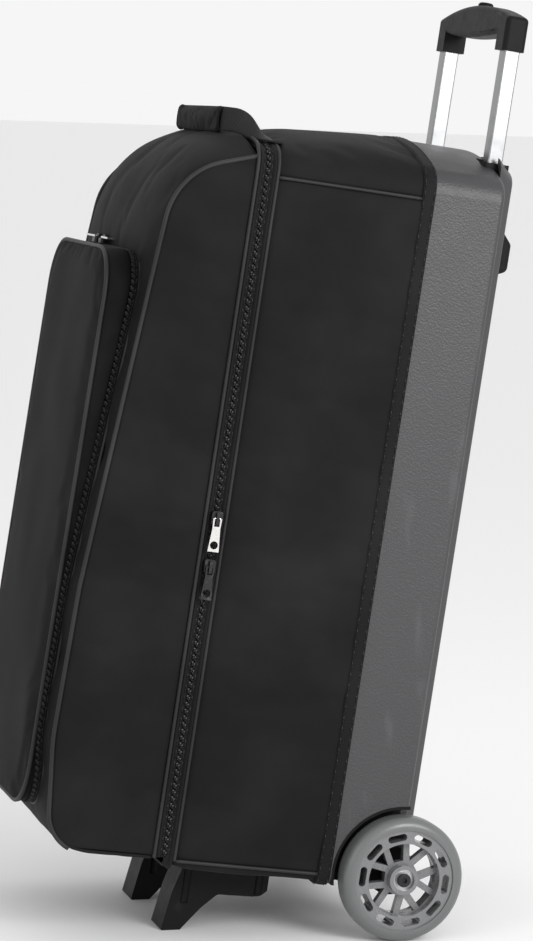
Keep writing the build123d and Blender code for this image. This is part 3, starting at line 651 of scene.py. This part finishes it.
pocket_line, mouth_line = pocket_outline(), pocket_outline(mouth_inset)
wrap = cut_cloth(44, 110, lambda u, v: lid_skin(2 * u - 1, v), (0.30, lid_line.length))
front_faces = [f for f in wrap.faces if f.calc_center_median().y < -0.30]
gone = [f for f in front_faces if within(f.calc_center_median().x, f.calc_center_median().z, mouth_line)]
bmesh.ops.delete(wrap, geom=gone, context="FACES")
sew(wrap, "front_wrap", "lid", "nylon", nylon, 0.004, 2.0, 0.006, 0.006,
    ("lid_front", "lid_top", "lid_bottom"))


def lid_side(name, node, side):
    """A side of the front section: level rows of cloth from the zip to the piping."""
    flip = side > 0

    def place(u, v):
        edge = lid_line.at(piped_from + piped_share * v)
        share = 1 - u if flip else u
        forward = zip_front + 0.0003 + (edge.x - zip_front - 0.0003) * share
        return Vector((side * side_edge(edge.y), -forward, edge.y))

    shape = cut_cloth(16, 100, place, (0.11, 0.70))
    sew(shape, name, "lid", "nylon", nylon, 0.004, 3.0, 0.006, 0.006, (node,))


lid_side("front_side_right", "lid_side_right", 1)
lid_side("front_side_left", "lid_side_left", -1)
print("front section cut, mouth of", len(gone), "squares taken out")

# %% [markdown]
# ## The pocket
# A zipped ring stands on the front section, and the cover stands on the ring: a gusset that turns
# over a piped edge into the padded face. Its lowest side is the fold that it opens about.

# %% The pocket's face and gusset


def pocket_base(spot):
    """How far forward the front section's cloth is, behind a place of the pocket's outline."""
    v = lid_level(spot.y)
    across = spot.x / side_edge(spot.y)
    return lid_line.at(v).x + fullness(v) * (1 - across ** 4)


def pocket_front(height):
    return 0.3915 - 0.006 * (height - pocket_low) / pocket_tall


def pocket_skin(s, low, high, share, lift=0.0):
    """On the gusset: from low off the front section's cloth to high short of the face."""
    spot = pocket_line.at(s)
    start, end = pocket_base(spot) + low, pocket_front(spot.y) - high
    place = spot + pocket_line.out(s) * lift
    return Vector((place.x, -(start + (end - start) * share), place.y))


def face_place(u, v):
    """On the face: level rows, each as wide as the outline is there."""
    height = pocket_low + pocket_tall * (0.5 - 0.5 * cos(pi * v)) * 0.6 + pocket_tall * v * 0.4
    corner = max(pocket_round - min(height - pocket_low, pocket_high - height), 0.0)
    wide = 0.077 + max(pocket_round ** 2 - corner ** 2, 0.0) ** 0.5
    across = 2 * u - 1
    full = 0.0025 * (1 - across ** 4) * (1 - (2 * v - 1) ** 6)
    return Vector((across * wide, -(pocket_front(height) + full), height))


sew(cut_cloth(40, 90, face_place, (0.25, pocket_tall)), "pocket_face", "pocket_flap", "nylon",
    pocket_nylon, 0.003, 2.5, 0.010, 0.004, ("pocket_cover",))
gusset = cut_cloth(220, 5,
                   lambda u, v: pocket_skin(u, 0.0075, 0.0015, v, 0.0012 * sin(pi * v) - 0.0015),
                   (pocket_line.length, 0.025))
sew(gusset, "pocket_gusset", "pocket_flap", "nylon", pocket_nylon, 0.003, 1.0, 0.012, 0.0025)
print("pocket cut")

# %% [markdown]
# **The carry sleeve.** A padded sleeve wraps the strap's middle. It is a closed tube, a little
# flared where its ends were turned in, and pinned along the seam underneath.

# %% The padded sleeve
sleeve_middle = Vector((0, -0.284, 0.742))


def sleeve_place(u, v):
    turned = 2 * pi * u
    along = 2 * v - 1
    ends = min(1.0, (1 - abs(along)) / 0.05)
    flare = 1 + 0.10 * ease(abs(along), 0.78, 0.95)
    deep = 0.0060 * flare * max(ends, 0.3) ** 0.5
    tall = 0.0125 * flare * max(ends, 0.75) ** 0.5
    offset = Vector((0, deep * cos(turned), tall * sin(turned)))
    return sleeve_middle + offset + Vector((0.082 * along, 0, -0.0015 * (1 - along * along)))


sleeve = cut_cloth(28, 50, sleeve_place, (0.062, 0.16))
sew(sleeve, "padded_sleeve", "strap", "webbing", sleeve_cloth, 0.002, 2.0, 0.02, 0.0025,
    ("strap_sleeve",), extra_pins=lambda vert: vert.co.z < 0.7305)
fill_all()

# %% [markdown]
# ## Edges: binding, tapes and piping
# A binding covers the joint of shell and cloth. It is a narrow band laid round the bag, so it is
# cut from the same kind of grid, with a flat profile across it. Piping is a band with a round
# profile.

# %% Bands round the bag


def band(name, start, end, profile, body, paint, replaced=(), rows=10, step=0.006):
    """A band on the walls from start to end; profile is a line of forward and lift."""
    length = (end - start) * ring_zip.length

    def place(u, v):
        spot = profile.at(v)
        return skin(start + (end - start) * u, spot.x, spot.y)

    shape = cut_cloth(round(length / step), rows, place, (length, profile.length))
    return keep(shape, name, body, paint, replaced)


def round_profile(forward, lift, radius):
    """A circle across a band, turned so that its outside faces out."""
    corners = []
    for step in range(12):
        angle = 2 * pi * step / 12
        corners.append(((forward - radius * cos(angle), lift + radius * sin(angle)), 0))
    return Line(corners, closed=True, count=48)


binding = Line([((0.0738, -0.0008), 0), ((0.0742, 0.0019), 0.0008), ((0.0786, 0.0024), 0.004),
                ((0.0834, 0.0024), 0.004), ((0.0876, 0.0018), 0.0008), ((0.0882, -0.0012), 0)])
thicken(band("edge_binding", 0, 1, binding, "case", tape, ("shell_binding",), 12), 0.001)
case_tape = Line([((0.2384, -0.0060), 0), ((0.2386, -0.0008), 0.001), ((0.2402, 0.0010), 0.0012),
                  ((0.2425, -0.0004), 0.001), ((0.2432, -0.0017), 0.001), ((0.2474, -0.0021), 0),
                  ((0.2475, -0.0050), 0)])
thicken(band("case_zip_tape", 0, 1, case_tape, "case", tape, ("zip_tape_case",), 16), 0.0008)
zip_start_s, zip_end_s = level(0.012), 1 - level(0.012)
lid_tape = Line([((0.2485, -0.0050), 0), ((0.2486, -0.0021), 0), ((0.2526, -0.0017), 0.001),
                 ((0.2534, -0.0004), 0.001), ((0.2556, 0.0010), 0.0012), ((0.2574, -0.0008), 0.001),
                 ((0.2578, -0.0060), 0)])
thicken(band("lid_zip_tape", zip_start_s, zip_end_s, lid_tape, "lid", tape,
             ("zip_tape_lid",), 16), 0.0008)
band("wall_piping", low_seam, 1 - low_seam, round_profile(0.2376, 0.0002, 0.0017), "case",
     piping_cloth)
band("lid_back_piping", zip_start_s, zip_end_s, round_profile(0.2592, 0.0014, 0.0019), "lid",
     piping_cloth)
print("bands sewn")

# %% [markdown]
# Other piping leaves the ring: it runs along the edges of the front section, round the pocket's
# face, and along the seams where the top wall meets the sides. One helper lays a round cord along
# any way, given where its outside faces.

# %% Cords along a way


def cord_along(name, way, away, length, radius, body, paint, closed=False, replaced=()):
    """A round cord: way(s) gives its middle and away(s) points out of the cloth."""

    def place(u, v):
        further, nearer = min(u + 0.002, 1.0 + 0.002 * closed), max(u - 0.002, -0.002 * closed)
        ahead = (way(further) - way(nearer)).normalized()
        out = (away(u) - ahead * away(u).dot(ahead)).normalized()
        angle = 2 * pi * v
        return way(u) + (out * cos(angle) - ahead.cross(out) * sin(angle)) * radius

    shape = cut_cloth(round(length / 0.005), 10, place, (length, 2 * pi * radius))
    if not closed:
        rims = [edge for edge in shape.edges if edge.is_boundary]
        bmesh.ops.holes_fill(shape, edges=rims, sides=0)
    return keep(shape, name, body, paint, replaced)


def lid_edge_out(s, side):
    out = lid_line.out(piped_from + piped_share * s)
    return Vector((side, -out.x, out.y))


for name, side in (("right", 1), ("left", -1)):
    cord_along(f"lid_edge_piping_{name}",
               lambda s: lid_skin(side, piped_from + piped_share * s, 0.0005),
               lambda s: lid_edge_out(s, side),
               0.9 * lid_line.length, 0.0022, "lid", piping_cloth)
    seam = top_seam if side > 0 else 1 - top_seam
    cord_along(f"top_seam_piping_{name}", lambda s: skin(seam, 0.088 + 0.148 * s, 0.0004),
               lambda s: Vector((side, 0, 0.3)), 0.148, 0.0016, "case", piping_cloth)
    corner = low_seam if side > 0 else 1 - low_seam
    cord_along(f"bottom_seam_piping_{name}", lambda s: skin(corner, 0.088 + 0.148 * s, 0.0002),
               lambda s: Vector((side, 0, -0.3)), 0.148, 0.0017, "case", piping_cloth)


def around_pocket(inset, low, share, lift=0.0):
    return lambda s: pocket_skin(s, low, inset, share, lift)


def pocket_out(s):
    out = pocket_line.out(s)
    return Vector((out.x, -1.0, out.y))


cord_along("pocket_piping", around_pocket(0.0002, 0, 1.0, -0.0006), pocket_out, pocket_line.length, 0.0021,
           "pocket_flap", piping_cloth, closed=True)
cord_along("pocket_foot_piping", around_pocket(0, 0.0002, 0.0, 0.0008), pocket_out, pocket_line.length,
           0.0015, "lid", piping_cloth, closed=True)
ring = cut_cloth(220, 5, lambda u, v: pocket_skin(u, -0.0015 + 0.0077 * v, 0, 0.0, -0.0008),
                 (pocket_line.length, 0.008))
thicken(keep(ring, "pocket_zip_tape", "lid", tape, ("pocket_zip_ring",)), 0.0012)


def mouth_way(s):
    spot = mouth_line.at(s)
    return Vector((spot.x, -(pocket_base(spot) + 0.0008), spot.y))


mouth = cut_cloth(200, 3, lambda u, v: mouth_way(u) + Vector((mouth_line.out(u).x, 0, mouth_line.out(u).y))
                  * (0.009 - 0.013 * v) + Vector((0, 0.0006 * (1 - v), 0)), (mouth_line.length, 0.013))
thicken(keep(mouth, "mouth_binding", "lid", tape), 0.0012)
print("piping and mouth sewn")

# %% [markdown]
# ## Zip coils and stitches
# A coil is hundreds of small turns, alternately on one tape and the other, so each half goes with
# its own side when the zip opens. Stitches are the same idea, longer and thinner. Every bead is one
# low ball, stretched along its line.

# %% Beads along a way


def beads(name, way, away, length, pitch, size, body, paint, shift=0.0):
    """Small stretched balls along way(s); size is along, across and out.

    One ball is doubled until there are enough, and each block of corners is then put in its place.
    """
    shape = bmesh.new()
    bmesh.ops.create_uvsphere(shape, u_segments=6, v_segments=4, radius=0.5)
    corners = [vert.co.copy() for vert in shape.verts]
    count = round(length / pitch)
    while len(shape.verts) < count * len(corners):
        bmesh.ops.duplicate(shape, geom=shape.verts[:] + shape.edges[:] + shape.faces[:])
        shape.verts.ensure_lookup_table()
    spare = shape.verts[count * len(corners):]
    bmesh.ops.delete(shape, geom=spare, context="VERTS")
    shape.verts.ensure_lookup_table()
    for index in range(count):
        s = (index + 0.5 + shift) / count
        ahead = (way(s + 0.0008) - way(s - 0.0008)).normalized()
        out = (away(s) - ahead * away(s).dot(ahead)).normalized()
        turned = Matrix((ahead, out.cross(ahead), out)).transposed().to_4x4()
        matrix = Matrix.Translation(way(s)) @ turned @ Matrix.Diagonal((*size, 1.0))
        first = index * len(corners)
        for vert, corner in zip(shape.verts[first:first + len(corners)], corners):
            vert.co = matrix @ corner
    print(name, count, "beads")
    return keep(shape, name, body, paint)


def on_skin(forward, lift, start, end):
    return lambda s: skin(start + (end - start) * s, forward, lift)


def skin_out(start, end):
    def away(s):
        out = ring_zip.out(start + (end - start) * s)
        return Vector((out.x, 0, out.y))
    return away


zip_run = (zip_end_s - zip_start_s) * ring_zip.length
zip_away = skin_out(zip_start_s, zip_end_s)
turn_size, pocket_turn = (0.0021, 0.0030, 0.0020), (0.0018, 0.0024, 0.0016)
beads("case_zip_coil", on_skin(0.2470, -0.0012, zip_start_s, zip_end_s), zip_away, zip_run, 0.0034,
      turn_size, "case", coil)
beads("lid_zip_coil", on_skin(0.2490, -0.0012, zip_start_s, zip_end_s), zip_away, zip_run, 0.0034,
      turn_size, "lid", coil, shift=0.5)


def pocket_away(s):
    out = pocket_line.out(s)
    return Vector((out.x, 0, out.y))


beads("pocket_coil_low", around_pocket(0, 0.0062, 0.0, 0.0002), pocket_away, pocket_line.length,
      0.0032, pocket_turn, "lid", coil)
beads("pocket_coil_high", around_pocket(0, 0.0078, 0.0, 0.0002), pocket_away, pocket_line.length,
      0.0032, pocket_turn, "pocket_flap", coil, shift=0.5)
stitch = (0.0034, 0.0008, 0.0007)
all_round = skin_out(0, 1)
stitch_pitch = 0.0055
for name, forward in (("binding_back", 0.0762), ("binding_front", 0.0860)):
    beads(f"stitches_{name}", on_skin(forward, 0.0024, 0, 1), all_round, ring_zip.length,
          stitch_pitch, stitch, "case", thread)
for body, forward in (("case", 0.2440), ("lid", 0.2520)):
    beads(f"stitches_{body}_tape", on_skin(forward, -0.0016, zip_start_s, zip_end_s), zip_away,
          zip_run, stitch_pitch, stitch, body, thread)
beads("stitches_pocket_tape", around_pocket(0, 0.0035, 0.0, -0.0002), pocket_away,
      pocket_line.length, stitch_pitch, stitch, "lid", thread)
beads("stitches_mouth", mouth_way, lambda s: Vector((0, -1, 0)), mouth_line.length, 0.006,
      stitch, "lid", thread)

# %% [markdown]
# ## The carry strap
# Mesh webbing comes out of the top seam behind the zip, turns on edge and runs through the padded
# sleeve. The webbing is kept in this one shape and rides on no body.

# %% The webbing
strap_line = Line([((-0.118, 0.229), 0), ((-0.112, 0.250), 0.02), ((-0.092, 0.2835), 0.03),
                   ((-0.06, 0.284), 0), ((0.06, 0.284), 0), ((0.092, 0.2835), 0.03),
                   ((0.112, 0.250), 0.02), ((0.118, 0.229), 0)])
webbing_width = 0.024


def strap_place(u, v):
    """v runs along the strap, and u across it: flat on the bag at its ends, on edge at the sleeve."""
    spot = strap_line.at(v)
    on_edge = ease(min(v, 1 - v), 0.02, 0.17)
    side = 1 if v > 0.5 else -1
    height = 0.7262 + (sleeve_middle.z - 0.7262) * on_edge
    wide = Vector((-side * (1 - on_edge), 0.15 * (1 - on_edge), on_edge)).normalized()
    return Vector((spot.x, -spot.y, height)) + wide * (u - 0.5) * webbing_width


strap = cut_cloth(8, 110, strap_place, (webbing_width, strap_line.length))
webbing_piece = keep(strap, "carry_webbing", None, webbing, ("carry_strap",))
lean @ Vector((0, -0.235, 0.728))
lean @ Vector((0, -0.262, 0.736))
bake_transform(webbing_piece)
edge = webbing_piece.modifiers.new("thickness", "SOLIDIFY")
edge.thickness, edge.offset = 0.002, 0.0
print("strap sewn")

# %% [markdown]
# ## Inside
# A thin lining closes the back of the front section. It covers the board between the balls and
# the shoes, and reaches up under the crowned top, so that no light shows over the board.

# %% The front section's lining
lining_half = 0.1455


def lining_place(u, v):
    """Level rows between the two sides of the zip, over the board that closes the front section."""
    height = 0.013 + 0.719 * v
    share = min(max((height - 0.69) / 0.042, 0.0), 1.0)
    wide = lining_half * (1 - share ** 2.2) ** 0.45 if share > 0 else lining_half
    across = 2 * u - 1
    puff = 0.0012 * (1 - across ** 4) * (1 - (2 * v - 1) ** 4)
    return Vector((wide * across, -0.2574 + puff, height))


lining = cut_cloth(24, 60, lining_place, (0.29, 0.72))
bmesh.ops.reverse_faces(lining, faces=lining.faces)
lining_piece = thicken(keep(lining, "front_lining", "lid", nylon), 0.0006)
print("lining laid")

# %% [markdown]
# The trays that hold the balls are foam under a soft cover. A copy of each hard tray is joined up,
# remeshed finely and smoothed, which rounds its edges as a cover does.

# %% Covered foam trays
for level_name in ("lower", "middle", "upper"):
    node = nodes[f"ball_tray_{level_name}"]
    tray = bmesh.new()
    tray.from_mesh(node.data)
    bmesh.ops.remove_doubles(tray, verts=tray.verts, dist=1e-5)
    piece = keep(tray, f"tray_cover_{level_name}", "case", foam_cover, (node.name,),
                 matrix=Matrix.Identity(4))
    fine = piece.modifiers.new("fine", "REMESH")
    fine.mode, fine.voxel_size, fine.use_smooth_shade = "VOXEL", 0.0045, True
    soft = piece.modifiers.new("soft", "SMOOTH")
    soft.factor, soft.iterations = 0.5, 6
    graph = bpy.context.evaluated_depsgraph_get()
    covered = bpy.data.meshes.new_from_object(piece.evaluated_get(graph))
    piece.modifiers.clear()
    piece.data = covered
    covered.shade_smooth()
    print("covered tray", level_name, len(covered.polygons), "faces")
